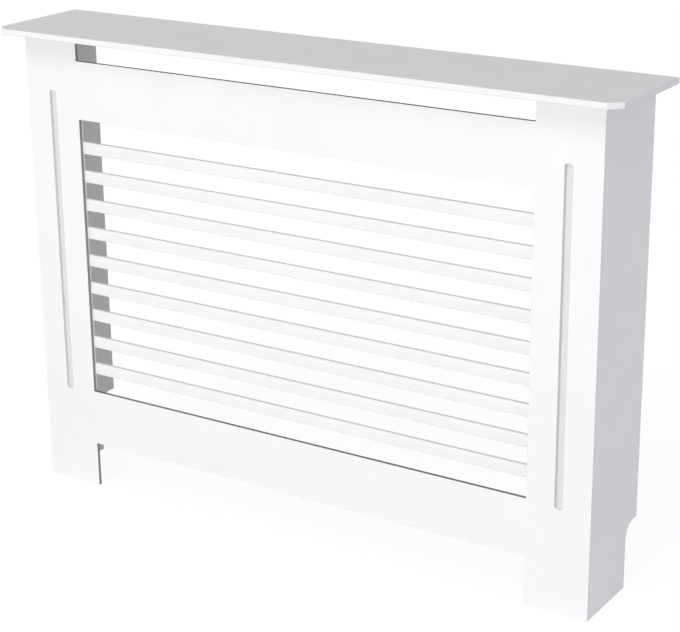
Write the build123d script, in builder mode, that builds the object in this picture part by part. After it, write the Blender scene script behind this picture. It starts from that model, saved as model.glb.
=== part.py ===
from build123d import *
import os

os.makedirs("parts", exist_ok=True)

# Millimetres. Z is up, the front faces -Y, and the origin is on the floor under the
# middle of the shelf.

# Overall size
overall_height = 815.0
shelf_length = 1140.0
shelf_depth = 205.0

# Boards
shelf_thickness = 10.0
side_thickness = 10.0
panel_thickness = 6.0
slat_thickness = 6.0

# The shelf stands out past the cabinet at the front and at both ends
front_overhang = 35.0
side_overhang = 35.0
shelf_corner_cut = 18.0
shelf_edge_round = 1.2

# Front panel: one board with a louvre window, a vent notch above and a gap below
stile_width = 109.0
rail_height = 99.0
vent_height = 38.0
foot_height = 81.0
panel_edge_round = 0.6

# Long slot down the middle of each stile, cut through the panel and closed from behind
slot_width = 14.0
slot_corner_radius = 4.0
slot_below_window = 5.0
slot_above_window = 44.0

# Louvre: flat slats half-lapped into two uprights behind the window. The uprights are wide
# enough to close the slots as well.
slat_count = 9
slat_height = 21.0
lowest_gap = 31.0
highest_gap = 39.2
slat_edge_round = 0.8
upright_width = 68.0
upright_reveal = 0.8
upright_overrun = 55.0
lap_width = 16.0
lap_gap = 0.3

# Skirting cut-out in the lower back corner of each side panel
skirting_depth = 38.5
skirting_height = 109.0
skirting_radius = 25.0
side_edge_round = 0.8

# Square battens in the front corners
batten_size = 16.0
batten_foot = 20.0
batten_head_gap = 2.0
batten_edge_break = 1.0

# Small steel angle brackets under the shelf
bracket_leg = 25.0
bracket_width = 14.0
bracket_metal = 1.5
bracket_bend = 3.0
bracket_hole_reach = 15.0
rear_bracket_inset = 30.0

# Wall brackets: a longer upright leg with a hole for the wall screw
wall_bracket_leg = 34.0
wall_bracket_reach = 40.0
wall_bracket_width = 20.0
wall_bracket_inset = 135.0
wall_hole_diameter = 5.0
wall_hole_drop = 22.0
shelf_hole_near = 14.0
shelf_hole_far = 30.0

# Screws. None comes nearer to the far face of the last board it enters than the cover.
screw_gap = 0.15
screw_cover = 2.0
batten_screw_diameter = 3.5
batten_screw_head = 6.8
batten_screw_count = 4
batten_screw_foot = 100.0
batten_screw_head_room = 73.0
batten_screw_stagger = 40.0
slat_screw_diameter = 3.0
slat_screw_head = 5.4
bracket_screw_diameter = 3.0
bracket_screw_head = 5.6
bracket_screw_rise = 1.9
bracket_screw_crown = 1.2
screw_tip = 2.5
recess_length = 2.6
recess_width = 0.9
recess_depth = 1.0

# Everything below follows from the sizes above.
carcass_height = overall_height - shelf_thickness
front_width = shelf_length - 2 * side_overhang
half_front = front_width / 2
back_y = shelf_depth / 2
front_y = -shelf_depth / 2 + front_overhang
panel_back_y = front_y + panel_thickness
louvre_back_y = panel_back_y + slat_thickness
lap_y = (panel_back_y + louvre_back_y) / 2
side_inner_x = half_front - side_thickness
window_width = front_width - 2 * stile_width
window_bottom = foot_height + rail_height
window_top = carcass_height - vent_height - rail_height
slot_bottom = window_bottom - slot_below_window
slot_top = window_top + slot_above_window
slot_x = half_front - stile_width / 2
upright_inner_x = window_width / 2 - upright_reveal
upright_outer_x = upright_inner_x + upright_width
upright_bottom = window_bottom - upright_overrun
upright_height = window_top - window_bottom + 2 * upright_overrun
lap_x = upright_inner_x + lap_width
lap_middle_x = upright_inner_x + lap_width / 2
lowest_slat_middle = window_bottom + lowest_gap + slat_height / 2
highest_slat_middle = window_top - highest_gap - slat_height / 2
slat_pitch = (highest_slat_middle - lowest_slat_middle) / (slat_count - 1)
slat_middles = [
    lowest_slat_middle + index * slat_pitch for index in range(slat_count)
]
batten_x = side_inner_x - batten_size / 2
batten_y = panel_back_y + batten_size / 2
batten_back_y = panel_back_y + batten_size
batten_top = carcass_height - batten_head_gap
batten_length = batten_top - batten_foot
front_screw_run = (
    batten_length - batten_screw_foot - batten_screw_head_room - batten_screw_stagger
)
batten_screw_pitch = front_screw_run / (batten_screw_count - 1)
front_screw_heights = [
    batten_foot + batten_screw_foot + index * batten_screw_pitch
    for index in range(batten_screw_count)
]
side_screw_heights = [height + batten_screw_stagger for height in front_screw_heights]
batten_screw_length = batten_size + panel_thickness - screw_cover
slat_screw_length = slat_thickness + panel_thickness - screw_cover
bracket_screw_length = shelf_thickness - screw_cover
bracket_hole_z = carcass_height - bracket_hole_reach
rear_bracket_y = back_y - rear_bracket_inset
wall_bracket_x = half_front - wall_bracket_inset
wall_hole_z = carcass_height - wall_hole_drop

front_plane = Plane.XZ.offset(-front_y)


def facing(x, y, z, direction):
    """A plane at a point whose normal runs along the given direction."""
    return Plane(origin=(x, y, z), z_dir=direction)


# Where each kind of screw sits: the underside of its head, looking back along the
# way it was driven.
slat_screw_planes = [
    facing(side * lap_middle_x, louvre_back_y, height, (0, 1, 0))
    for side in (-1, 1)
    for height in slat_middles
]
batten_front_planes = [
    facing(side * batten_x, batten_back_y, height, (0, 1, 0))
    for side in (-1, 1)
    for height in front_screw_heights
]
batten_side_planes = [
    facing(side * (side_inner_x - batten_size), batten_y, height, (-side, 0, 0))
    for side in (-1, 1)
    for height in side_screw_heights
]
front_bracket_upright_planes = [
    facing(side * batten_x, batten_back_y + bracket_metal, bracket_hole_z, (0, 1, 0))
    for side in (-1, 1)
]
front_bracket_shelf_planes = [
    facing(
        side * batten_x,
        batten_back_y + bracket_hole_reach,
        carcass_height - bracket_metal,
        (0, 0, -1),
    )
    for side in (-1, 1)
]
rear_bracket_upright_planes = [
    facing(
        side * (side_inner_x - bracket_metal), rear_bracket_y, bracket_hole_z, (-side, 0, 0)
    )
    for side in (-1, 1)
]
rear_bracket_shelf_planes = [
    facing(
        side * (side_inner_x - bracket_hole_reach),
        rear_bracket_y,
        carcass_height - bracket_metal,
        (0, 0, -1),
    )
    for side in (-1, 1)
]
wall_bracket_shelf_planes = [
    facing(
        side * wall_bracket_x,
        back_y - reach,
        carcass_height - bracket_metal,
        (0, 0, -1),
    )
    for side in (-1, 1)
    for reach in (shelf_hole_near, shelf_hole_far)
]
bracket_shelf_planes = (
    front_bracket_shelf_planes + rear_bracket_shelf_planes + wall_bracket_shelf_planes
)


def cut_screw_holes(planes, diameter, length):
    """Round clearance holes, each running down from its plane."""
    depth = length + screw_gap
    for plane in planes:
        with Locations(plane):
            with Locations((0, 0, -depth / 2)):
                Cylinder(diameter / 2 + screw_gap, depth, mode=Mode.SUBTRACT)


def cut_countersinks(planes, diameter, head, length):
    """Clearance holes with a conical seat for a countersunk head."""
    cut_screw_holes(planes, diameter, length)
    seat = (head - diameter) / 2
    for plane in planes:
        with Locations(plane):
            with Locations((0, 0, -seat / 2)):
                Cone(
                    diameter / 2 + screw_gap,
                    head / 2 + screw_gap,
                    seat,
                    mode=Mode.SUBTRACT,
                )


# Screws are modelled once on the origin, head up, and then placed in groups.
def countersunk_screw(diameter, head, length):
    """Flat-headed wood screw with a cross recess, its head level with z = 0."""
    seat = (head - diameter) / 2
    with BuildPart() as screw:
        with BuildSketch(Plane.XZ):
            with BuildLine():
                Polyline(
                    (0, 0),
                    (head / 2, 0),
                    (diameter / 2, -seat),
                    (diameter / 2, screw_tip - length),
                    (0, -length),
                    close=True,
                )
            make_face()
        revolve(axis=Axis.Z)
        with Locations((0, 0, -recess_depth / 2)):
            Box(recess_length, recess_width, recess_depth, mode=Mode.SUBTRACT)
            Box(recess_width, recess_length, recess_depth, mode=Mode.SUBTRACT)
    return screw.part


batten_screw = countersunk_screw(
    batten_screw_diameter, batten_screw_head, batten_screw_length
)
slat_screw = countersunk_screw(slat_screw_diameter, slat_screw_head, slat_screw_length)

# Bracket screw: a pan head, its underside level with z = 0
with BuildPart() as bracket_screw:
    with BuildSketch(Plane.XZ):
        with BuildLine():
            Polyline(
                (0, bracket_screw_rise),
                (bracket_screw_head / 2, bracket_screw_rise),
                (bracket_screw_head / 2, 0),
                (bracket_screw_diameter / 2, 0),
                (bracket_screw_diameter / 2, screw_tip - bracket_screw_length),
                (0, -bracket_screw_length),
                close=True,
            )
        make_face()
    revolve(axis=Axis.Z)
    head_rim = bracket_screw.edges().filter_by(GeomType.CIRCLE).sort_by(Axis.Z)[-1]
    fillet(head_rim, bracket_screw_crown)
    with Locations((0, 0, bracket_screw_rise - recess_depth / 2)):
        Box(recess_length, recess_width, recess_depth, mode=Mode.SUBTRACT)
        Box(recess_width, recess_length, recess_depth, mode=Mode.SUBTRACT)

# Top shelf: clipped front corners, eased front and end edges, blind holes underneath
with BuildPart() as top_shelf:
    with BuildSketch(Plane.XY.offset(carcass_height)) as shelf_outline:
        Rectangle(shelf_length, shelf_depth)
        chamfer(shelf_outline.vertices().group_by(Axis.Y)[0], shelf_corner_cut)
    extrude(amount=shelf_thickness)
    level_edges = top_shelf.edges().filter_by(Axis.Z, reverse=True)
    back_edges = top_shelf.edges().group_by(Axis.Y)[-1]
    fillet(level_edges - back_edges, shelf_edge_round)
    cut_screw_holes(bracket_shelf_planes, bracket_screw_diameter, bracket_screw_length)
top_shelf.part.label = "top_shelf"
export_step(top_shelf.part, "parts/top_shelf.step")

# Front panel: the whole face is cut from one thin board
with BuildPart() as front_panel:
    with BuildSketch(front_plane):
        with Locations((0, carcass_height / 2)):
            Rectangle(front_width, carcass_height)
        with Locations((0, (window_bottom + window_top) / 2)):
            Rectangle(window_width, window_top - window_bottom, mode=Mode.SUBTRACT)
        with Locations((0, carcass_height - vent_height / 2)):
            Rectangle(window_width, vent_height, mode=Mode.SUBTRACT)
        with Locations((0, foot_height / 2)):
            Rectangle(window_width, foot_height, mode=Mode.SUBTRACT)
        for side in (-1, 1):
            with Locations((side * slot_x, (slot_bottom + slot_top) / 2)):
                RectangleRounded(
                    slot_width,
                    slot_top - slot_bottom,
                    slot_corner_radius,
                    mode=Mode.SUBTRACT,
                )
    extrude(amount=-panel_thickness)
    fillet(front_panel.edges().group_by(Axis.Y)[0], panel_edge_round)
    cut_screw_holes(slat_screw_planes, slat_screw_diameter, slat_screw_length)
    cut_screw_holes(batten_front_planes, batten_screw_diameter, batten_screw_length)
front_panel.part.label = "front_panel"
export_step(front_panel.part, "parts/front_panel.step")


# Side panels: behind the front panel, cut away at the back to clear a skirting board
def side_panel(side):
    """One side panel, side -1 for left and 1 for right."""
    with BuildPart() as panel:
        with BuildSketch(Plane.YZ.offset(side * side_inner_x)) as outline:
            with BuildLine():
                Polyline(
                    (panel_back_y, 0),
                    (back_y - skirting_depth, 0),
                    (back_y - skirting_depth, skirting_height),
                    (back_y, skirting_height),
                    (back_y, carcass_height),
                    (panel_back_y, carcass_height),
                    close=True,
                )
            make_face()
            inner_corner = outline.vertices().sort_by_distance(
                (back_y - skirting_depth, skirting_height)
            )[0]
            fillet(inner_corner, skirting_radius)
        extrude(amount=side * side_thickness)
        back_edges = panel.edges().filter_by(Axis.Z).group_by(Axis.Y)[-1]
        fillet(back_edges, side_edge_round)
        cut_screw_holes(batten_side_planes, batten_screw_diameter, batten_screw_length)
        cut_screw_holes(
            rear_bracket_upright_planes, bracket_screw_diameter, bracket_screw_length
        )
    return panel.part


left_side_panel = side_panel(-1)
left_side_panel.label = "left_side_panel"
export_step(left_side_panel, "parts/left_side_panel.step")

right_side_panel = side_panel(1)
right_side_panel.label = "right_side_panel"
export_step(right_side_panel, "parts/right_side_panel.step")


# Louvre uprights: thin boards behind the stiles, rebated on the back to take the slats
def louvre_upright(side):
    """One louvre upright, side -1 for left and 1 for right."""
    with BuildPart() as upright:
        with BuildSketch(Plane.XY.offset(upright_bottom)):
            with BuildLine():
                Polyline(
                    (side * upright_inner_x, panel_back_y),
                    (side * upright_outer_x, panel_back_y),
                    (side * upright_outer_x, louvre_back_y),
                    (side * lap_x, louvre_back_y),
                    (side * lap_x, lap_y),
                    (side * upright_inner_x, lap_y),
                    close=True,
                )
            make_face()
        extrude(amount=upright_height)
        cut_screw_holes(slat_screw_planes, slat_screw_diameter, slat_screw_length)
    return upright.part


left_louvre_upright = louvre_upright(-1)
left_louvre_upright.label = "left_louvre_upright"
export_step(left_louvre_upright, "parts/left_louvre_upright.step")

right_louvre_upright = louvre_upright(1)
right_louvre_upright.label = "right_louvre_upright"
export_step(right_louvre_upright, "parts/right_louvre_upright.step")

# Slats: numbered from the bottom, each with a half-thickness tongue at both ends
for index, slat_middle in enumerate(slat_middles):
    with BuildPart() as slat:
        with BuildSketch(Plane.XY.offset(slat_middle - slat_height / 2)):
            with BuildLine():
                Polyline(
                    (-upright_inner_x + lap_gap, panel_back_y),
                    (upright_inner_x - lap_gap, panel_back_y),
                    (upright_inner_x - lap_gap, lap_y),
                    (lap_x - lap_gap, lap_y),
                    (lap_x - lap_gap, louvre_back_y),
                    (-lap_x + lap_gap, louvre_back_y),
                    (-lap_x + lap_gap, lap_y),
                    (-upright_inner_x + lap_gap, lap_y),
                    close=True,
                )
            make_face()
        extrude(amount=slat_height)
        front_edges = slat.edges().filter_by(Axis.X).group_by(Axis.Y)[0]
        fillet(front_edges, slat_edge_round)
        cut_countersinks(
            slat_screw_planes,
            slat_screw_diameter,
            slat_screw_head,
            slat_screw_length,
        )
    slat.part.label = f"slat_{index + 1}"
    export_step(slat.part, f"parts/slat_{index + 1}.step")


# Corner battens: square softwood lengths that join the front panel to each side
def corner_batten(side):
    """One corner batten, side -1 for left and 1 for right."""
    with BuildPart() as batten:
        with BuildSketch(Plane.XY.offset(batten_foot)) as section:
            with Locations((side * batten_x, batten_y)):
                Rectangle(batten_size, batten_size)
            free_corner = section.vertices().sort_by_distance((0, back_y))[0]
            chamfer(free_corner, batten_edge_break)
        extrude(amount=batten_length)
        cut_countersinks(
            batten_front_planes + batten_side_planes,
            batten_screw_diameter,
            batten_screw_head,
            batten_screw_length,
        )
        cut_screw_holes(
            front_bracket_upright_planes, bracket_screw_diameter, bracket_screw_length
        )
    return batten.part


left_corner_batten = corner_batten(-1)
left_corner_batten.label = "left_corner_batten"
export_step(left_corner_batten, "parts/left_corner_batten.step")

right_corner_batten = corner_batten(1)
right_corner_batten.label = "right_corner_batten"
export_step(right_corner_batten, "parts/right_corner_batten.step")


# Brackets: bent steel angles under the shelf
def angle_bracket(x, y, shelf_direction, reach, drop, width):
    """An angle whose outer corner is at (x, y) under the shelf, bent evenly."""
    down = Vector(0, 0, -1)
    corner = Plane(
        origin=(x, y, carcass_height),
        x_dir=shelf_direction,
        z_dir=Vector(shelf_direction).cross(down),
    )
    with BuildPart() as bracket:
        with BuildSketch(corner) as profile:
            with BuildLine():
                Polyline(
                    (0, 0),
                    (reach, 0),
                    (reach, bracket_metal),
                    (bracket_metal, bracket_metal),
                    (bracket_metal, drop),
                    (0, drop),
                    close=True,
                )
            make_face()
            bend = profile.vertices().sort_by_distance((0, 0))
            fillet(bend[0], bracket_bend)
            fillet(bend[1], bracket_bend - bracket_metal)
        extrude(amount=width / 2, both=True)
    return bracket.part


for side, side_name in ((-1, "left"), (1, "right")):
    # Front bracket: from the back of the corner batten to the shelf
    with BuildPart() as front_bracket:
        add(
            angle_bracket(
                side * batten_x,
                batten_back_y,
                (0, 1, 0),
                bracket_leg,
                bracket_leg,
                bracket_width,
            )
        )
        cut_screw_holes(
            front_bracket_upright_planes + front_bracket_shelf_planes,
            bracket_screw_diameter,
            bracket_screw_length,
        )
    front_bracket.part.label = f"{side_name}_front_bracket"
    export_step(front_bracket.part, f"parts/{side_name}_front_bracket.step")

    # Rear bracket: from the inside of the side panel to the shelf
    with BuildPart() as rear_bracket:
        add(
            angle_bracket(
                side * side_inner_x,
                rear_bracket_y,
                (-side, 0, 0),
                bracket_leg,
                bracket_leg,
                bracket_width,
            )
        )
        cut_screw_holes(
            rear_bracket_upright_planes + rear_bracket_shelf_planes,
            bracket_screw_diameter,
            bracket_screw_length,
        )
    rear_bracket.part.label = f"{side_name}_rear_bracket"
    export_step(rear_bracket.part, f"parts/{side_name}_rear_bracket.step")

    # Wall bracket: its upright leg lies against the wall, level with the back edges
    with BuildPart() as wall_bracket:
        add(
            angle_bracket(
                side * wall_bracket_x,
                back_y,
                (0, -1, 0),
                wall_bracket_reach,
                wall_bracket_leg,
                wall_bracket_width,
            )
        )
        cut_screw_holes(
            wall_bracket_shelf_planes, bracket_screw_diameter, bracket_screw_length
        )
        with Locations(facing(side * wall_bracket_x, back_y, wall_hole_z, (0, 1, 0))):
            Hole(wall_hole_diameter / 2, depth=2 * bracket_metal)
    wall_bracket.part.label = f"{side_name}_wall_bracket"
    export_step(wall_bracket.part, f"parts/{side_name}_wall_bracket.step")


# Screws: each node is one kind of identical screw in one kind of joint
def screw_group(name, screw, planes):
    """Place one screw on every plane and write the group out as one node."""
    with BuildPart() as group:
        for plane in planes:
            add(plane.location * screw)
    group.part.label = name
    export_step(group.part, f"parts/{name}.step")


screw_group("slat_screws", slat_screw, slat_screw_planes)
screw_group("batten_front_screws", batten_screw, batten_front_planes)
screw_group("batten_side_screws", batten_screw, batten_side_planes)
screw_group(
    "bracket_upright_screws",
    bracket_screw.part,
    front_bracket_upright_planes + rear_bracket_upright_planes,
)
screw_group("bracket_shelf_screws", bracket_screw.part, bracket_shelf_planes)
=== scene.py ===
import math

import bpy
from mathutils import Matrix, Vector


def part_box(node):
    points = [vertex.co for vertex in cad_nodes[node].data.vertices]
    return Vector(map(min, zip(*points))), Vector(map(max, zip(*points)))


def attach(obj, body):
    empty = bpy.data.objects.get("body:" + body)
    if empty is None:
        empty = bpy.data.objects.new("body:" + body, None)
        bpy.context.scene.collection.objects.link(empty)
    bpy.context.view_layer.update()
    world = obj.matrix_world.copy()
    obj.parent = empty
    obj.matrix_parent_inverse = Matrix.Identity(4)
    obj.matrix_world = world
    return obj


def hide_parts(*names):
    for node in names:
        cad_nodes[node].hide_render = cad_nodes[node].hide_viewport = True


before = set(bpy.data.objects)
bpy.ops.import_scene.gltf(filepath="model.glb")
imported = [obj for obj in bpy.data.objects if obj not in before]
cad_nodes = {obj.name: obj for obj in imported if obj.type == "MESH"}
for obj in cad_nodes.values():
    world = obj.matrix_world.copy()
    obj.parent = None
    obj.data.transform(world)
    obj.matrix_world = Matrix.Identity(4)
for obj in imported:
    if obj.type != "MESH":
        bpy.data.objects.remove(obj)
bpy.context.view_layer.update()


# Front panel: one thin MDF board with the louvre window, the vent notch above it, the gap
# above the floor and a slot down each stile, all cut from the one sheet. It is sprayed satin
# white, and the sawn edges of the window, notch and gap are coloured dark grey.
def lay(tree, kind, feeds=None, **settings):
    """Adds one node to a tree, sets it up and feeds its sockets."""
    node = tree.nodes.new(kind)
    for setting, value in settings.items():
        setattr(node, setting, value)
    for socket, value in (feeds or {}).items():
        if isinstance(value, bpy.types.NodeSocket):
            tree.links.new(value, node.inputs[socket])
        else:
            node.inputs[socket].default_value = value
    return node


def reckon(tree, operation, first, second=0.0):
    """One arithmetic step between two numbers."""
    return lay(tree, "ShaderNodeMath", {0: first, 1: second}, operation=operation).outputs[0]


def spread(tree, value, low, high, to_low, to_high):
    """Stretches a number from one range to another and stops it at the ends."""
    feeds = {
        "Value": value,
        "From Min": low,
        "From Max": high,
        "To Min": to_low,
        "To Max": to_high,
    }
    return lay(tree, "ShaderNodeMapRange", feeds).outputs["Result"]


def tint(tree, amount, first, second):
    """Blends one colour into another."""
    feeds = {0: amount, 6: first, 7: second}
    return lay(tree, "ShaderNodeMix", feeds, data_type="RGBA").outputs[2]


def coat(tree, fleck, bright, first, second):
    """Paint that wanders between two tones, dimmed by its brightness, which carries painted shade
    and the thinner inward coat.
    """
    tones = [[channel * bright for channel in tone] + [1] for tone in (first, second)]
    return tint(tree, fleck, *tones)


def how_far_along(tree, direction, way):
    """How closely a direction follows a fixed way: one along it, nought across it."""
    feeds = {0: direction, 1: way}
    return lay(tree, "ShaderNodeVectorMath", feeds, operation="DOT_PRODUCT").outputs["Value"]


def grain(tree, place, size, detail=2.0, roughness=0.5, stretch=(1, 1, 1), shift=(0, 0, 0)):
    """Cloudy noise, its clouds about as many metres across as the size says."""
    moved = lay(tree, "ShaderNodeMapping", {"Vector": place, "Location": shift, "Scale": stretch})
    feeds = {
        "Vector": moved.outputs[0],
        "Scale": 1 / size,
        "Detail": detail,
        "Roughness": roughness,
    }
    return lay(tree, "ShaderNodeTexNoise", feeds).outputs[0]


def raised(tree, height, metres, strength, under=None):
    """Relief on top of other relief."""
    feeds = {"Height": height, "Distance": metres, "Strength": strength}
    if under:
        feeds["Normal"] = under
    return lay(tree, "ShaderNodeBump", feeds).outputs[0]


def fresh_finish(name):
    """A new material, with its tree, its shader and the place on the piece it is read at."""
    finish = bpy.data.materials.new(name)
    finish.use_nodes = True
    tree = finish.node_tree
    place = lay(tree, "ShaderNodeTexCoord").outputs["Object"]
    return finish, tree, tree.nodes["Principled BSDF"], place


def satin_white(
    name, through, seed, dark_edges_within=0.0, painted_shade_brightness=1.0, inward=None, inward_coat_and_shade=0.88
):
    """Sprayed satin white on a board whose thickness runs along axis 0, 1 or 2.

    Cut edges nearer to the middle than the given reach are coloured dark grey. The face
    brightness dims the coat as painted shade, for parts set back in shade. Inward is the way in
    which the hidden face looks; the coat there is dimmed, partly for fewer passes, partly as
    painted shade."""
    paint, tree, shader, place = fresh_finish(name)
    shift = (seed * 1.7, seed * 0.9, seed * 2.3)
    facing = lay(tree, "ShaderNodeNewGeometry").outputs["Normal"]

    # The cut edges drink the paint, so they dry duller and show the board's fibres.
    parts = lay(tree, "ShaderNodeSeparateXYZ", {0: facing}).outputs
    flatness = reckon(tree, "ABSOLUTE", parts[through])
    cut_edge = spread(tree, flatness, 0.35, 0.85, 1, 0)
    pressed = [1.0, 1.0, 1.0]
    pressed[through] = 5.0
    fibres = grain(tree, place, 0.004, detail=4, roughness=0.7, stretch=pressed, shift=shift)

    # The arrises are the first to be knocked and rubbed: the film is thin and polished there.
    arris_reach = 0.0011
    rounded = lay(tree, "ShaderNodeBevel", {"Radius": arris_reach}, samples=4).outputs[0]
    arris = spread(tree, how_far_along(tree, rounded, facing), 0.98, 0.80, 0, 1)
    knocks = grain(tree, place, 0.030, detail=3, roughness=0.6, shift=shift)
    patches = spread(tree, knocks, 0.46, 0.62, 0, 1)
    worn = reckon(tree, "MULTIPLY", arris, patches)

    # Colour: drifts a little over the board as the spray built up, and warms on the edges.
    # The face that looks inward is dimmer, partly from fewer passes and partly as painted shade
    # for the dim inside. The dark grey on the sawn edges is darkest on the upward-facing ones.
    face_tones = (0.852, 0.851, 0.862), (0.874, 0.872, 0.880)
    edge_tones = (0.812, 0.808, 0.806), (0.868, 0.864, 0.862)
    rubbed_through = (0.74, 0.70, 0.63, 1)
    passes = grain(tree, place, 0.16, detail=3, roughness=0.55, shift=shift)
    cloud = spread(tree, passes, 0.30, 0.70, 0, 1)
    # The face brightness dims the film as painted shade, for parts set back in shade.
    film = coat(tree, cloud, painted_shade_brightness, *face_tones)
    edge_film = coat(tree, fibres, 1.0, *edge_tones)
    if inward:
        # The inward face is dimmed, partly for fewer passes and partly as painted shade for the
        # dim inside.
        inner = spread(tree, how_far_along(tree, facing, inward), 0.3, 0.7, 0, 1)
        dusting = grain(tree, place, 0.05, detail=4, roughness=0.6, shift=shift)
        laps = spread(tree, dusting, 0.35, 0.65, 0, 1)
        film = tint(tree, inner, film, coat(tree, laps, inward_coat_and_shade, *face_tones))
    dulled = reckon(tree, "MULTIPLY", cut_edge, 0.75)
    colour = tint(tree, dulled, film, edge_film)
    # The sawn edges inside the openings are coloured dark grey, darkest on the upward-facing
    # sills.
    if dark_edges_within:
        dark_edge_pale, dark_edge_deep = (0.35, 0.35, 0.355, 1), (0.25, 0.25, 0.255, 1)
        darkest_on_sills = (0.15, 0.145, 0.145, 1)
        dark_edge_fade = 0.002
        across_middle = lay(tree, "ShaderNodeSeparateXYZ", {0: place}).outputs[0]
        from_middle = reckon(tree, "ABSOLUTE", across_middle)
        inside = spread(tree, from_middle, dark_edges_within, dark_edges_within + dark_edge_fade, 1, 0)
        dark_edge = tint(tree, fibres, dark_edge_deep, dark_edge_pale)
        sills = spread(tree, parts[2], 0.5, 0.9, 0, 1)
        dark_edge = tint(tree, sills, dark_edge, darkest_on_sills)
        colour = tint(tree, reckon(tree, "MULTIPLY", inside, cut_edge), colour, dark_edge)
    thin = reckon(tree, "MULTIPLY", worn, 0.30)
    colour = tint(tree, thin, colour, rubbed_through)
    tree.links.new(colour, shader.inputs["Base Color"])

    # Gloss: satin, uneven where the mist landed dry, duller on cut edges, polished on arrises.
    mist = grain(tree, place, 0.045, detail=4, roughness=0.6, shift=shift)
    gloss = spread(tree, mist, 0.3, 0.7, 0.47, 0.57)
    gloss = reckon(tree, "ADD", gloss, reckon(tree, "MULTIPLY", cut_edge, 0.13))
    gloss = reckon(tree, "SUBTRACT", gloss, reckon(tree, "MULTIPLY", worn, 0.12))
    tree.links.new(gloss, shader.inputs["Roughness"])

    # Relief: a slow wave in the sheet, orange peel in the film, fibres on the cut edges.
    swell = grain(tree, place, 0.11, detail=1, shift=shift)
    wave = raised(tree, swell, metres=0.0006, strength=0.30)
    dimples = grain(tree, place, 0.0026, detail=3, roughness=0.55, shift=shift)
    peel = raised(tree, dimples, metres=0.00009, strength=0.55, under=wave)
    pits = reckon(tree, "MULTIPLY", fibres, cut_edge)
    relief = raised(tree, pits, metres=0.00018, strength=0.60, under=peel)
    tree.links.new(relief, shader.inputs["Normal"])
    return paint


def dress(node_name, finish):
    """Gives a CAD node its finished material."""
    for material_slot in cad_nodes[node_name].material_slots:
        material_slot.material = finish


just_past_window = 0.440
front_paint = satin_white(
    "front_panel_paint", through=1, seed=1, dark_edges_within=just_past_window, inward=(0, 1, 0)
)
dress("front_panel", front_paint)


# Side panels: thicker MDF boards, butted behind the front panel. The lower back corner is
# cut away in a curve to clear a skirting board, and the back edges are eased.
# Their inward faces come out dimmer, partly for fewer passes and partly as painted shade for the
# dim inside of the cabinet.
left_side_paint = satin_white("left_side_paint", through=0, seed=2, inward=(1, 0, 0))
right_side_paint = satin_white("right_side_paint", through=0, seed=3, inward=(-1, 0, 0))
dress("left_side_panel", left_side_paint)
dress("right_side_panel", right_side_paint)


# Corner battens: planed softwood, screwed and glued in the angle between the front panel and
# each side. They are left bare inside the cabinet, with a small bevel on the free corner.
def planed_pine(name, pith, seed):
    """Bare pine whose rings grow round an upright line through pith."""
    wood, tree, shader, place = fresh_finish(name)
    shift = (seed * 3.1, seed * 1.3, seed * 0.7)

    # The trunk wanders, so the rings are read from a place that drifts with height.
    drift = lay(tree, "ShaderNodeTexNoise", {"Vector": place, "Scale": 5.0, "Detail": 2.0})
    bend = {0: drift.outputs["Color"], 1: (0.010, 0.010, 0.0)}
    wander = lay(tree, "ShaderNodeVectorMath", bend, operation="MULTIPLY").outputs[0]
    trunk = lay(tree, "ShaderNodeVectorMath", {0: place, 1: wander}, operation="ADD").outputs[0]
    round_pith = {"Vector": trunk, "Location": (-pith[0], -pith[1], 0), "Scale": (1, 1, 0.04)}
    rings = lay(
        tree,
        "ShaderNodeTexWave",
        {
            "Vector": lay(tree, "ShaderNodeMapping", round_pith).outputs[0],
            "Scale": 95.0,
            "Distortion": 1.6,
            "Detail": 3.0,
            "Detail Scale": 1.2,
        },
        wave_type="RINGS",
        rings_direction="Z",
        wave_profile="SAW",
    )
    late = spread(tree, rings.outputs["Fac"], 0.45, 0.98, 0, 1)
    long_streaks, soft_bands = (1, 1, 0.03), (1, 1, 0.5)
    fibre = grain(tree, place, 0.0012, detail=4, roughness=0.7, stretch=long_streaks, shift=shift)
    streak = spread(tree, fibre, 0.25, 0.75, 0, 1)
    blush = grain(tree, place, 0.09, stretch=soft_bands, shift=shift)

    # A few small knots: dark round hearts, set far apart.
    sown = {"Vector": trunk, "Location": shift, "Scale": (6.0, 6.0, 3.2)}
    sown_place = lay(tree, "ShaderNodeMapping", sown).outputs[0]
    spots = lay(tree, "ShaderNodeTexVoronoi", {"Vector": sown_place})
    knot = spread(tree, spots.outputs["Distance"], 0.070, 0.030, 0, 1)

    pale_fibre = (0.78, 0.62, 0.42, 1)
    knot_heart = (0.19, 0.095, 0.045, 1)
    early_wood = tint(tree, blush, (0.66, 0.47, 0.27, 1), (0.72, 0.53, 0.33, 1))
    late_wood = tint(tree, streak, (0.42, 0.24, 0.11, 1), (0.52, 0.32, 0.16, 1))
    colour = tint(tree, late, early_wood, late_wood)
    colour = tint(tree, reckon(tree, "MULTIPLY", streak, 0.22), colour, pale_fibre)
    colour = tint(tree, knot, colour, knot_heart)
    tree.links.new(colour, shader.inputs["Base Color"])

    # Planed fibres, with the hard late wood standing a little proud.
    tree.links.new(spread(tree, streak, 0, 1, 0.52, 0.70), shader.inputs["Roughness"])
    planing = raised(tree, fibre, metres=0.00018, strength=0.5)
    relief = raised(tree, late, metres=0.00012, strength=0.4, under=planing)
    tree.links.new(relief, shader.inputs["Normal"])
    return wood


left_pine = planed_pine("left_batten_pine", pith=(-0.541, -0.020), seed=1)
right_pine = planed_pine("right_batten_pine", pith=(0.498, -0.083), seed=2)
dress("left_corner_batten", left_pine)
dress("right_corner_batten", right_pine)


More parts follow.
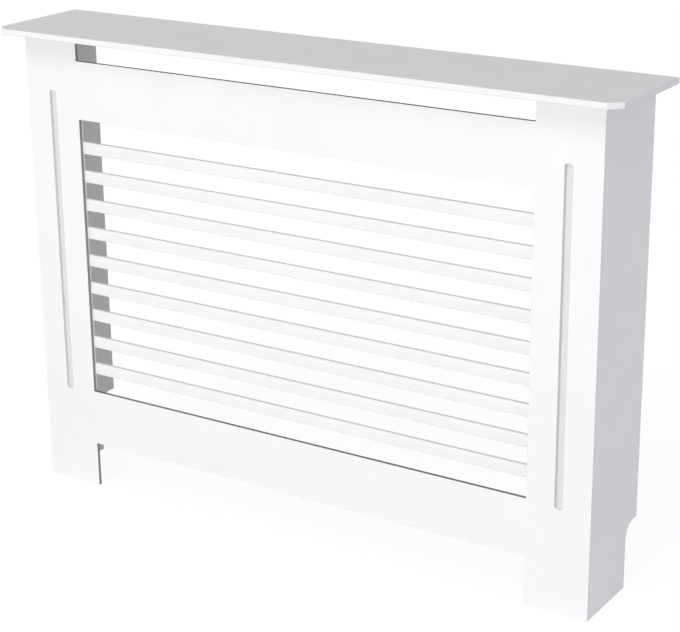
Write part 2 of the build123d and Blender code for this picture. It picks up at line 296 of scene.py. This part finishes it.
# Batten screws: zinc-plated countersunk wood screws with a cross recess, driven through each
# batten into the front panel and into the side, eight each way, their heads flush in the pine.
zinc, zinc_tree, zinc_shader, zinc_place = fresh_finish("screw_zinc_plate")
zinc_shader.inputs["Metallic"].default_value = 1.0
bluish, yellowish = (0.66, 0.67, 0.70, 1), (0.74, 0.72, 0.66, 1)
bath = grain(zinc_tree, zinc_place, 0.0030, detail=3, roughness=0.6)
plating = tint(zinc_tree, spread(zinc_tree, bath, 0.35, 0.65, 0, 1), bluish, yellowish)
zinc_tree.links.new(plating, zinc_shader.inputs["Base Color"])
forging = grain(zinc_tree, zinc_place, 0.0007, detail=3, roughness=0.6)
shine = spread(zinc_tree, forging, 0.3, 0.7, 0.24, 0.42)
zinc_tree.links.new(shine, zinc_shader.inputs["Roughness"])
hammered = raised(zinc_tree, forging, metres=0.00005, strength=0.5)
zinc_tree.links.new(hammered, zinc_shader.inputs["Normal"])


def named_inputs(tree, sizes):
    """Gives a Geometry Nodes tree its starting mesh, its named sizes and its finish."""
    tree.interface.new_socket("Geometry", in_out="INPUT", socket_type="NodeSocketGeometry")
    for size, default in sizes.items():
        kind = "NodeSocketInt" if isinstance(default, int) else "NodeSocketFloat"
        socket = tree.interface.new_socket(size, in_out="INPUT", socket_type=kind)
        socket.default_value = default
    tree.interface.new_socket("Finish", in_out="INPUT", socket_type="NodeSocketMaterial")
    tree.interface.new_socket("Geometry", in_out="OUTPUT", socket_type="NodeSocketGeometry")
    return lay(tree, "NodeGroupInput").outputs


def joined(tree, *shapes):
    """Puts several shapes into one."""
    join = lay(tree, "GeometryNodeJoinGeometry")
    for shape in shapes:
        tree.links.new(shape, join.inputs[0])
    return join.outputs[0]


def across(tree, x=0.0, y=0.0, z=0.0):
    """A point or direction made of three numbers."""
    return lay(tree, "ShaderNodeCombineXYZ", {0: x, 1: y, 2: z}).outputs[0]


def shifted(tree, shape, move=(0, 0, 0), turn=(0, 0, 0), stretch=(1, 1, 1)):
    """The same shape moved, turned and stretched."""
    feeds = {"Geometry": shape, "Translation": move, "Rotation": turn, "Scale": stretch}
    return lay(tree, "GeometryNodeTransform", feeds).outputs[0]


def tidied(tree, shape):
    """The same shape with points closer than two microns drawn together."""
    feeds = {"Geometry": shape, "Distance": 2e-6}
    return lay(tree, "GeometryNodeMergeByDistance", feeds).outputs[0]


def cut_away(tree, shape, cutter):
    """The shape less the cutter."""
    return lay(
        tree,
        "GeometryNodeMeshBoolean",
        {"Mesh 1": shape, "Mesh 2": cutter},
        operation="DIFFERENCE",
        solver="EXACT",
    ).outputs[0]


def set_out(tree, points, shape, finish, **turning):
    """Ends a tree: the shape stood on every point, made real, finished and handed on."""
    feeds = {"Points": points, "Instance": shape, **turning}
    stood = lay(tree, "GeometryNodeInstanceOnPoints", feeds).outputs[0]
    real = lay(tree, "GeometryNodeRealizeInstances", {"Geometry": stood}).outputs[0]
    finishing = {"Geometry": real, "Material": finish}
    finished = lay(tree, "GeometryNodeSetMaterial", finishing).outputs[0]
    lay(tree, "NodeGroupOutput", {"Geometry": finished})


def wood_screw_tree(name, domed):
    """Screws on every point of a mesh, each looking back along the point's way."""
    tree = bpy.data.node_groups.new(name, "GeometryNodeTree")
    given = named_inputs(
        tree,
        {
            "Head diameter": 0.0068,
            "Head depth": 0.00165,
            "Head crown": 0.0012,
            "Shank diameter": 0.0035,
            "Thread depth": 0.0005,
            "Thread pitch": 0.0016,
            "Length": 0.020,
            "Point": 0.005,
            "Recess length": 0.0034,
            "Recess width": 0.0011,
            "Recess depth": 0.0012,
            "Seed": 4,
        },
    )
    head_radius = reckon(tree, "MULTIPLY", given["Head diameter"], 0.5)
    outer_radius = reckon(tree, "MULTIPLY", given["Shank diameter"], 0.5)
    core_radius = reckon(tree, "SUBTRACT", outer_radius, given["Thread depth"])
    straight = reckon(tree, "SUBTRACT", given["Length"], given["Point"])
    down = reckon(tree, "MULTIPLY", straight, -1.0)

    # Head: a cone that sinks into the wood, or a rounded pan that stands on the steel
    if domed:
        top = given["Head depth"]
        into_head = 0.0004
        crown_end = 0.94
        puck = lay(
            tree,
            "GeometryNodeMeshCylinder",
            {"Vertices": 32, "Side Segments": 12, "Radius": head_radius, "Depth": top},
        ).outputs["Mesh"]
        puck = shifted(tree, puck, move=across(tree, z=reckon(tree, "MULTIPLY", top, 0.5)))
        spot = lay(tree, "GeometryNodeInputPosition").outputs[0]
        ring = lay(tree, "ShaderNodeSeparateXYZ", {0: spot}).outputs
        rim_height = reckon(tree, "SUBTRACT", top, given["Head crown"])
        climb = spread(tree, ring[2], rim_height, top, 0, crown_end)
        left_over = reckon(tree, "SUBTRACT", 1.0, reckon(tree, "POWER", climb, 2.0))
        narrowing = reckon(tree, "SQRT", left_over)
        drawn_in = across(
            tree,
            reckon(tree, "MULTIPLY", ring[0], narrowing),
            reckon(tree, "MULTIPLY", ring[1], narrowing),
            ring[2],
        )
        head = lay(
            tree, "GeometryNodeSetPosition", {"Geometry": puck, "Position": drawn_in}
        ).outputs[0]
    else:
        top = 0.0
        into_head = -0.0004
        cone = lay(
            tree,
            "GeometryNodeMeshCone",
            {
                "Vertices": 32,
                "Radius Top": head_radius,
                "Radius Bottom": outer_radius,
                "Depth": given["Head depth"],
            },
        ).outputs["Mesh"]
        seat = reckon(tree, "MULTIPLY", given["Head depth"], -1.0)
        head = shifted(tree, cone, move=across(tree, z=seat))

    # Shank, point and a thread that winds up from the point, all one piece with the head
    threaded_share = 0.72
    shank = reckon(tree, "ADD", straight, into_head)
    shank_middle = reckon(tree, "MULTIPLY", reckon(tree, "SUBTRACT", into_head, straight), 0.5)
    rod = lay(
        tree,
        "GeometryNodeMeshCylinder",
        {"Vertices": 16, "Radius": core_radius, "Depth": shank},
    ).outputs["Mesh"]
    rod = shifted(tree, rod, move=across(tree, z=shank_middle))
    tip = lay(
        tree,
        "GeometryNodeMeshCone",
        {"Vertices": 16, "Radius Bottom": core_radius, "Depth": given["Point"]},
    ).outputs["Mesh"]
    tip = shifted(tree, tip, move=across(tree, z=down), turn=(math.pi, 0, 0))
    threaded = reckon(tree, "MULTIPLY", straight, threaded_share)
    turns = reckon(tree, "DIVIDE", threaded, given["Thread pitch"])
    helix = lay(
        tree,
        "GeometryNodeCurveSpiral",
        {
            "Resolution": 14,
            "Rotations": turns,
            "Start Radius": core_radius,
            "End Radius": core_radius,
            "Height": threaded,
        },
    ).outputs["Curve"]
    ridge = lay(
        tree,
        "GeometryNodeCurvePrimitiveCircle",
        {"Resolution": 3, "Radius": given["Thread depth"]},
    ).outputs["Curve"]
    thread = lay(
        tree,
        "GeometryNodeCurveToMesh",
        {"Curve": helix, "Profile Curve": ridge, "Fill Caps": True},
    ).outputs[0]
    thread = shifted(tree, thread, move=across(tree, z=down))
    screw = lay(
        tree,
        "GeometryNodeMeshBoolean",
        {"Mesh 2": joined(tree, head, rod, tip, thread), "Self Intersection": True},
        operation="UNION",
        solver="EXACT",
    ).outputs[0]

    # Cross recess: two tapering wings over a round pit, punched from just above the head.
    # Wings and pit are made one wide and one deep, then stretched to the recess's sizes.
    punch_lift = 0.00003
    pit_depth_share = 1.25
    pit_width_share = 1.7
    square_corner = 0.7071
    wing = lay(
        tree,
        "GeometryNodeMeshCone",
        {"Vertices": 4, "Radius Top": square_corner, "Radius Bottom": 0.42, "Depth": 1.0},
    ).outputs["Mesh"]
    wing = shifted(tree, wing, turn=(0, 0, math.pi / 4))
    pit = lay(
        tree,
        "GeometryNodeMeshCone",
        {"Vertices": 12, "Radius Top": 0.5, "Radius Bottom": 0.22, "Depth": 1.0},
    ).outputs["Mesh"]
    deeper = reckon(tree, "MULTIPLY", given["Recess depth"], pit_depth_share)
    wide = reckon(tree, "MULTIPLY", given["Recess width"], pit_width_share)
    lift = reckon(tree, "ADD", top, punch_lift)
    wing_floor = across(tree, z=reckon(tree, "SUBTRACT", lift, given["Recess depth"]))
    pit_floor = across(tree, z=reckon(tree, "SUBTRACT", lift, deeper))
    long_way = across(tree, given["Recess length"], given["Recess width"], given["Recess depth"])
    wing_along = shifted(tree, wing, wing_floor, stretch=long_way)
    wing_across = shifted(tree, wing_along, turn=(0, 0, math.pi / 2))
    round_pit = shifted(tree, pit, pit_floor, stretch=across(tree, wide, wide, deeper))
    for cutter in (wing_along, wing_across, round_pit):
        screw = cut_away(tree, screw, cutter)
    screw = tidied(tree, screw)

    # One on each point, turned as far as the driver happened to stop
    way = lay(tree, "GeometryNodeInputNamedAttribute", {"Name": "way"}, data_type="FLOAT_VECTOR")
    stood = lay(
        tree, "FunctionNodeAlignRotationToVector", {"Vector": way.outputs["Attribute"]}, axis="Z"
    ).outputs[0]
    least_socket, most_socket = 2, 3
    draw = {"Seed": given["Seed"], least_socket: 0.0, most_socket: math.pi}
    chance = lay(tree, "FunctionNodeRandomValue", draw, data_type="FLOAT")
    stop = lay(
        tree, "FunctionNodeAxisAngleToRotation", {"Axis": (0, 0, 1), "Angle": chance.outputs[1]}
    ).outputs[0]
    driven = lay(
        tree,
        "FunctionNodeRotateRotation",
        {"Rotation": stood, "Rotate By": stop},
        rotation_space="LOCAL",
    ).outputs[0]
    set_out(tree, given["Geometry"], screw, given["Finish"], Rotation=driven)
    return tree


def grown(name, tree, start, sizes, finish):
    """Runs a tree on a starting mesh and keeps the result as a plain mesh."""
    crease = math.radians(32)
    piece = bpy.data.objects.new(name, start)
    bpy.context.scene.collection.objects.link(piece)
    growth = piece.modifiers.new("growth", "NODES")
    growth.node_group = tree
    given = {**sizes, "Finish": finish}
    for socket in tree.interface.items_tree:
        if socket.in_out == "INPUT" and socket.name in given:
            growth[socket.identifier] = given[socket.name]
    grown_now = piece.evaluated_get(bpy.context.evaluated_depsgraph_get())
    solid = bpy.data.meshes.new_from_object(grown_now)
    piece.modifiers.clear()
    piece.data = solid
    solid.name = name
    solid.polygons.foreach_set("use_smooth", [True] * len(solid.polygons))
    solid.set_sharp_from_angle(angle=crease)
    return piece


def driving_points(name, places):
    """A mesh of loose points, each with the way its screw head looks."""
    points = bpy.data.meshes.new(name)
    points.from_pydata([place for place, way in places], [], [])
    ways = points.attributes.new("way", "FLOAT_VECTOR", "POINT")
    ways.data.foreach_set("vector", [number for place, way in places for number in way])
    return points


def fitted(piece, node_names):
    """Hands a finished piece over in place of its CAD nodes."""
    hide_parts(*node_names)
    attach(piece, "root")


countersunk = wood_screw_tree("countersunk_screws", domed=False)
batten_screw_sizes = {
    "Head diameter": 0.0068,
    "Head depth": 0.00165,
    "Shank diameter": 0.0035,
    "Thread depth": 0.00055,
    "Thread pitch": 0.0018,
    "Length": 0.020,
    "Point": 0.0045,
    "Recess length": 0.0038,
    "Recess width": 0.0010,
    "Recess depth": 0.0013,
}
screws_per_batten = 4
half_head = batten_screw_sizes["Head diameter"] / 2
front_low, front_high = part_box("batten_front_screws")
side_low, side_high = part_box("batten_side_screws")
batten_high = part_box("left_corner_batten")[1]
batten_middle_x = front_high[0] - half_head
batten_middle_y = (side_low[1] + side_high[1]) / 2
batten_face_x = -batten_high[0]
row_pitch = (front_high[2] - front_low[2] - 2 * half_head) / (screws_per_batten - 1)
front_places = []
side_places = []
for side in (-1, 1):
    for row in range(screws_per_batten):
        front_z = front_low[2] + half_head + row * row_pitch
        front_places.append(((side * batten_middle_x, front_high[1], front_z), (0, 1, 0)))
        side_z = side_low[2] + half_head + row * row_pitch
        side_places.append(((side * batten_face_x, batten_middle_y, side_z), (-side, 0, 0)))
batten_front_screws = grown(
    "batten_front_screws_driven",
    countersunk,
    driving_points("batten_front_points", front_places),
    {**batten_screw_sizes, "Seed": 11},
    zinc,
)
fitted(batten_front_screws, ["batten_front_screws"])
batten_side_screws = grown(
    "batten_side_screws_driven",
    countersunk,
    driving_points("batten_side_points", side_places),
    {**batten_screw_sizes, "Seed": 23},
    zinc,
)
fitted(batten_side_screws, ["batten_side_screws"])


# Louvre uprights: thin MDF boards glued to the back of the stiles, which also close the slots.
# A rebate down the inner edge of each takes the tongues of the slats. Their coat is dimmed as
# painted shade, for the shaded floors of the slots.
left_upright_paint = satin_white("left_upright_paint", through=1, seed=4, painted_shade_brightness=0.82)
right_upright_paint = satin_white("right_upright_paint", through=1, seed=5, painted_shade_brightness=0.82)
dress("left_louvre_upright", left_upright_paint)
dress("right_louvre_upright", right_upright_paint)


# Louvre slats: nine flat MDF slats, half the thickness left as a tongue at each end and
# screwed to the uprights from behind. Their front arrises are rounded over before spraying.
def slat_tree(name):
    """A ladder of slats, cut from one section with rebated, countersunk ends."""
    tree = bpy.data.node_groups.new(name, "GeometryNodeTree")
    given = named_inputs(
        tree,
        {
            "Slats": 9,
            "First middle": 0.2215,
            "Pitch": 0.0496,
            "Height": 0.021,
            "Thickness": 0.006,
            "Front": -0.0615,
            "Half length": 0.4409,
            "Half show": 0.4249,
            "Front arris": 0.0008,
            "Back arris": 0.0004,
            "Screw place": 0.4332,
            "Seat diameter": 0.0057,
            "Hole diameter": 0.0033,
        },
    )
    half_thick = reckon(tree, "MULTIPLY", given["Thickness"], 0.5)
    middle_y = reckon(tree, "ADD", given["Front"], half_thick)

    # Section, rounded more on the front arrises than on the back ones
    section = lay(
        tree,
        "GeometryNodeCurvePrimitiveQuadrilateral",
        {"Width": given["Thickness"], "Height": given["Height"]},
        mode="RECTANGLE",
    ).outputs[0]
    corner = lay(tree, "GeometryNodeInputPosition").outputs[0]
    corner_x = lay(tree, "ShaderNodeSeparateXYZ", {0: corner}).outputs[0]
    is_back = reckon(tree, "LESS_THAN", corner_x, 0.0)
    arris = lay(
        tree,
        "ShaderNodeMapRange",
        {"Value": is_back, "To Min": given["Front arris"], "To Max": given["Back arris"]},
    ).outputs["Result"]
    eased = lay(
        tree,
        "GeometryNodeFilletCurve",
        {"Curve": section, "Count": 4, "Radius": arris, "Limit Radius": True},
        mode="POLY",
    ).outputs[0]
    run = lay(
        tree,
        "GeometryNodeCurvePrimitiveLine",
        {
            "Start": across(tree, x=reckon(tree, "MULTIPLY", given["Half length"], -1.0)),
            "End": across(tree, x=given["Half length"]),
        },
    ).outputs[0]
    blank = lay(
        tree,
        "GeometryNodeCurveToMesh",
        {"Curve": run, "Profile Curve": eased, "Fill Caps": True},
    ).outputs[0]
    blank = tidied(tree, blank)

    # Ends: the front half is sawn away, and a countersunk hole bored from behind
    saw_length = 0.04
    saw_height = 0.1
    saw_size = across(tree, saw_length, given["Thickness"], saw_height)
    saw = lay(tree, "GeometryNodeMeshCube", {"Size": saw_size}).outputs["Mesh"]
    saw_x = reckon(tree, "ADD", given["Half show"], saw_length / 2)
    saw_y = reckon(tree, "MULTIPLY", half_thick, -1.0)
    drill_play = 0.00002
    seat_radius = reckon(tree, "MULTIPLY", given["Seat diameter"], 0.5)
    hole_radius = reckon(tree, "MULTIPLY", given["Hole diameter"], 0.5)
    seat_depth = reckon(tree, "SUBTRACT", seat_radius, hole_radius)
    seat_floor = reckon(tree, "SUBTRACT", half_thick, seat_depth)
    countersink = lay(
        tree,
        "GeometryNodeMeshCone",
        {
            "Vertices": 32,
            "Radius Top": reckon(tree, "ADD", seat_radius, drill_play),
            "Radius Bottom": hole_radius,
            "Depth": reckon(tree, "ADD", seat_depth, drill_play),
        },
    ).outputs["Mesh"]
    drill_length = 0.02
    drill = lay(
        tree,
        "GeometryNodeMeshCylinder",
        {"Vertices": 32, "Radius": hole_radius, "Depth": drill_length},
    ).outputs["Mesh"]
    from_behind = (-math.pi / 2, 0, 0)
    for side in (-1, 1):
        sawn_x = reckon(tree, "MULTIPLY", saw_x, side)
        hole_x = reckon(tree, "MULTIPLY", given["Screw place"], side)
        hole_seat = across(tree, hole_x, seat_floor)
        for cutter in (
            shifted(tree, saw, across(tree, sawn_x, saw_y)),
            shifted(tree, countersink, hole_seat, from_behind),
            shifted(tree, drill, across(tree, hole_x), from_behind),
        ):
            blank = cut_away(tree, blank, cutter)
    blank = tidied(tree, blank)

    # One slat on each rung
    ladder = lay(
        tree,
        "GeometryNodeMeshLine",
        {
            "Count": given["Slats"],
            "Start Location": across(tree, 0.0, middle_y, given["First middle"]),
            "Offset": across(tree, z=given["Pitch"]),
        },
    ).outputs["Mesh"]
    set_out(tree, ladder, blank, given["Finish"])
    return tree


slat_count = 9
slat_low, slat_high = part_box("slat_1")
top_slat_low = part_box("slat_9")[0]
slat_middle = (slat_low[2] + slat_high[2]) / 2
slat_pitch = (top_slat_low[2] - slat_low[2]) / (slat_count - 1)
slat_screw_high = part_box("slat_screws")[1]
slat_screw_head = 0.0054
slat_screw_x = slat_screw_high[0] - slat_screw_head / 2
louvre_slats = grown(
    "louvre_slats",
    slat_tree("slat_ladder"),
    bpy.data.meshes.new("slat_start"),
    {
        "Slats": slat_count,
        "First middle": slat_middle,
        "Pitch": slat_pitch,
        "Height": slat_high[2] - slat_low[2],
        "Thickness": slat_high[1] - slat_low[1],
        "Front": slat_low[1],
        "Half length": slat_high[0],
        "Half show": 0.4249,
        "Front arris": 0.0016,
        "Back arris": 0.0005,
        "Screw place": slat_screw_x,
        "Seat diameter": 0.0057,
        "Hole diameter": 0.0033,
    },
    # dimmed a little: painted shade for slats set back behind the front panel
    satin_white("slat_paint", through=1, seed=6, painted_shade_brightness=0.98),
)
slat_names = [f"slat_{number}" for number in range(1, slat_count + 1)]
fitted(louvre_slats, slat_names)


# Slat screws: small zinc-plated countersunk screws, one through each tongue and the upright
# into the stile. Their heads lie flush in the backs of the slats.
slat_screw_places = [
    ((side * slat_screw_x, slat_screw_high[1], slat_middle + row * slat_pitch), (0, 1, 0))
    for side in (-1, 1)
    for row in range(slat_count)
]
slat_screws = grown(
    "slat_screws_driven",
    countersunk,
    driving_points("slat_screw_points", slat_screw_places),
    {
        "Head diameter": slat_screw_head,
        "Head depth": 0.0012,
        "Shank diameter": 0.0030,
        "Thread depth": 0.00045,
        "Thread pitch": 0.0013,
        "Length": 0.010,
        "Point": 0.0030,
        "Recess length": 0.0030,
        "Recess width": 0.0008,
        "Recess depth": 0.0009,
        "Seed": 37,
    },
    zinc,
)
fitted(slat_screws, ["slat_screws"])


# Shelf brackets: small angles bent from zinc-plated steel strip, two behind the front battens
# and two on the sides near the back, all screwed up into the underside of the shelf.
def plated_steel(name, seed):
    """Zinc plate on rolled strip: faint rolling lines, clouds and small scratches."""
    steel, tree, shader, place = fresh_finish(name)
    shader.inputs["Metallic"].default_value = 1.0
    shift = (seed * 0.37, seed * 0.53, seed * 0.71)
    scratch_way, rolling_way = (0.05, 1.6, 1.2), (1.4, 0.08, 1.4)

    # Colour: cloudy plate, brighter where it is scratched
    bluish, yellowish = (0.60, 0.62, 0.66, 1), (0.76, 0.75, 0.71, 1)
    scratched = (0.86, 0.86, 0.85, 1)
    bath = grain(tree, place, 0.009, detail=4, roughness=0.6, shift=shift)
    clouds = spread(tree, bath, 0.35, 0.68, 0, 1)
    scratch = grain(tree, place, 0.0010, stretch=scratch_way, shift=shift)
    rubbed = spread(tree, scratch, 0.66, 0.72, 0, 1)
    plating = tint(tree, clouds, bluish, yellowish)
    plating = tint(tree, reckon(tree, "MULTIPLY", rubbed, 0.5), plating, scratched)
    tree.links.new(plating, shader.inputs["Base Color"])

    # Gloss: duller where the plate is thick, polished in the scratches
    gloss = spread(tree, clouds, 0, 1, 0.26, 0.44)
    gloss = reckon(tree, "SUBTRACT", gloss, reckon(tree, "MULTIPLY", rubbed, 0.10))
    tree.links.new(gloss, shader.inputs["Roughness"])

    # Relief: lines left by the rolling mill, under the clouds of the plate
    rolling = grain(
        tree, place, 0.0007, detail=3, roughness=0.6, stretch=rolling_way, shift=shift
    )
    lines = raised(tree, rolling, metres=0.00006, strength=0.45)
    relief = raised(tree, clouds, metres=0.00008, strength=0.3, under=lines)
    tree.links.new(relief, shader.inputs["Normal"])
    return steel


shelf_brackets = (
    "left_front_bracket",
    "right_front_bracket",
    "left_rear_bracket",
    "right_rear_bracket",
)
for number, bracket in enumerate(shelf_brackets, start=1):
    dress(bracket, plated_steel(f"{bracket}_zinc", seed=number))


# Wall brackets: longer angles whose upright legs lie against the wall, each with one hole for
# the wall screw. They are the same plated strip as the shelf brackets.
dress("left_wall_bracket", plated_steel("left_wall_bracket_zinc", seed=5))
dress("right_wall_bracket", plated_steel("right_wall_bracket_zinc", seed=6))


# Bracket screws: short zinc-plated pan-head screws, one in the upright leg of each shelf
# bracket and one or two in every leg under the shelf, their rounded heads on the steel.
def angle_place(node_name):
    """The middle of an angle in x and in y, and the two far corners of the angle."""
    low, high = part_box(node_name)
    return (low[0] + high[0]) / 2, (low[1] + high[1]) / 2, low, high


pan_head = wood_screw_tree("pan_head_screws", domed=True)
pan_sizes = {
    "Head diameter": 0.0056,
    "Head depth": 0.0019,
    "Head crown": 0.0012,
    "Shank diameter": 0.0030,
    "Thread depth": 0.00045,
    "Thread pitch": 0.0013,
    "Length": 0.008,
    "Point": 0.0025,
    "Recess length": 0.0030,
    "Recess width": 0.0008,
    "Recess depth": 0.0011,
}
steel_thickness = 0.0015
hole_reach = 0.015
wall_bracket_reaches = (0.014, 0.030)
upright_places = []
shelf_places = []
for side, side_name in ((-1, "left"), (1, "right")):
    middle_x, middle_y, low, high = angle_place(f"{side_name}_front_bracket")
    leg_z = high[2] - hole_reach
    upright_places.append(((middle_x, low[1] + steel_thickness, leg_z), (0, 1, 0)))
    shelf_places.append(((middle_x, low[1] + hole_reach, high[2] - steel_thickness), (0, 0, -1)))
    middle_x, middle_y, low, high = angle_place(f"{side_name}_rear_bracket")
    wall_x = high[0] if side > 0 else low[0]
    upright_places.append(((wall_x - side * steel_thickness, middle_y, leg_z), (-side, 0, 0)))
    shelf_places.append(
        ((wall_x - side * hole_reach, middle_y, high[2] - steel_thickness), (0, 0, -1))
    )
    middle_x, middle_y, low, high = angle_place(f"{side_name}_wall_bracket")
    for reach in wall_bracket_reaches:
        shelf_places.append(((middle_x, high[1] - reach, high[2] - steel_thickness), (0, 0, -1)))
upright_screws = grown(
    "bracket_upright_screws_driven",
    pan_head,
    driving_points("bracket_upright_points", upright_places),
    {**pan_sizes, "Seed": 41},
    zinc,
)
fitted(upright_screws, ["bracket_upright_screws"])
shelf_screws = grown(
    "bracket_shelf_screws_driven",
    pan_head,
    driving_points("bracket_shelf_points", shelf_places),
    {**pan_sizes, "Seed": 53},
    zinc,
)
fitted(shelf_screws, ["bracket_shelf_screws"])


# Top shelf: one MDF board with both front corners clipped and its arrises eased, laid on the
# panels and held from below. It stands out past the front and both sides.
# The underside's coat is dimmed hard, as painted shade for the dark line under the shelf's front
# edge.
shelf_paint = satin_white(
    "shelf_paint", through=2, seed=7, inward=(0, 0, -1), inward_coat_and_shade=0.62
)
dress("top_shelf", shelf_paint)


# Studio: a pale floor that runs back to a white surround, a broad soft lamp in front, one
# high in front and a weaker one off the right end. The floor looks white and keeps a shadow.
floor_reach = 20.0
floor_level = -0.0004
floor_mesh = bpy.data.meshes.new("studio_floor")
floor_mesh.from_pydata(
    [
        (x * floor_reach, y * floor_reach, floor_level)
        for x, y in ((-1, -1), (1, -1), (1, 1), (-1, 1))
    ],
    [],
    [(0, 1, 2, 3)],
)
floor = bpy.data.objects.new("studio_floor", floor_mesh)
bpy.context.scene.collection.objects.link(floor)


def seen_directly(tree):
    """One for what the eye, a gloss or a glass sees, nought for plain scattered light."""
    ray = lay(tree, "ShaderNodeLightPath").outputs
    seen = reckon(tree, "MAXIMUM", ray["Is Camera Ray"], ray["Is Glossy Ray"])
    return reckon(tree, "MAXIMUM", seen, ray["Is Transmission Ray"])


# The floor lights up a little by itself, more so far off, so that it reads as white
floor_finish = bpy.data.materials.new("studio_floor_white")
floor_finish.use_nodes = True
floor_tree = floor_finish.node_tree
floor_tree.nodes.remove(floor_tree.nodes["Principled BSDF"])
matt = lay(floor_tree, "ShaderNodeBsdfDiffuse", {"Color": (0.84, 0.84, 0.85, 1)}).outputs[0]
faint = lay(floor_tree, "ShaderNodeBsdfDiffuse", {"Color": (0.16, 0.16, 0.16, 1)}).outputs[0]
floor_place = lay(floor_tree, "ShaderNodeTexCoord").outputs["Object"]
away = lay(floor_tree, "ShaderNodeVectorMath", {0: floor_place}, operation="LENGTH")
near, far = 0.7, 1.9
glow_near, glow_far = 0.90, 0.93
brightness = spread(floor_tree, away.outputs["Value"], near, far, glow_near, glow_far)
glow = lay(
    floor_tree, "ShaderNodeEmission", {"Color": (1, 1, 1, 1), "Strength": brightness}
).outputs[0]
shown = lay(floor_tree, "ShaderNodeAddShader", {0: faint, 1: glow}).outputs[0]
floor_mix = lay(
    floor_tree, "ShaderNodeMixShader", {0: seen_directly(floor_tree), 1: matt, 2: shown}
).outputs[0]
floor_tree.links.new(floor_mix, floor_tree.nodes["Material Output"].inputs["Surface"])
floor_mesh.materials.append(floor_finish)

surround = bpy.data.worlds.new("studio_surround")
bpy.context.scene.world = surround
surround.use_nodes = True
sky = surround.node_tree
dim = {"Color": (0.975, 0.975, 1.0, 1), "Strength": 0.43}
soft = lay(sky, "ShaderNodeBackground", dim).outputs[0]
plain = {"Color": (1, 1, 1, 1), "Strength": 1.0}
white = lay(sky, "ShaderNodeBackground", plain).outputs[0]
sky_mix = lay(sky, "ShaderNodeMixShader", {0: seen_directly(sky), 1: soft, 2: white}).outputs[0]
sky.links.new(sky_mix, sky.nodes["World Output"].inputs["Surface"])


def looking(spot, aim, roll=0.0):
    """Stands at a spot and looks at a point, turned a little about the line of sight."""
    view = (Vector(aim) - Vector(spot)).to_track_quat("-Z", "Y").to_matrix().to_4x4()
    return Matrix.Translation(spot) @ view @ Matrix.Rotation(roll, 4, "Z")


def softbox(name, spot, aim, width, height, watts, colour):
    """An oblong soft lamp."""
    lamp = bpy.data.lights.new(name, "AREA")
    lamp.shape = "RECTANGLE"
    lamp.size = width
    lamp.size_y = height
    lamp.energy = watts
    lamp.color = colour
    stand = bpy.data.objects.new(name, lamp)
    stand.matrix_world = looking(spot, aim)
    bpy.context.scene.collection.objects.link(stand)


softbox(
    "front_softbox",
    spot=(-0.2, -5.0, 0.55),
    aim=(0, 0, 0.45),
    width=2.4,
    height=1.0,
    watts=104.0,
    colour=(1, 0.995, 0.99),
)
softbox(
    "upper_softbox",
    spot=(0, -6.5, 9.05),
    aim=(0, 0, 0.4),
    width=4.3,
    height=4.3,
    watts=284.0,
    colour=(1, 1, 1),
)
softbox(
    "end_softbox",
    spot=(2.9, -0.1, 0.36),
    aim=(0.5, 0, 0.36),
    width=0.7,
    height=0.7,
    watts=9.0,
    colour=(0.93, 0.91, 1),
)

camera_body = bpy.data.cameras.new("camera")
camera_body.sensor_fit = "HORIZONTAL"
camera_body.sensor_width = 36.0
camera_body.lens = 98.766
camera = bpy.data.objects.new("camera", camera_body)
camera.matrix_world = looking(
    spot=(1.60361, -2.39496, 1.38003), aim=(0.047252, 0.0, 0.385748), roll=-0.009925
)
bpy.context.scene.collection.objects.link(camera)
bpy.context.scene.camera = camera
bpy.context.scene.view_settings.view_transform = "Standard"


bpy.context.view_layer.update()
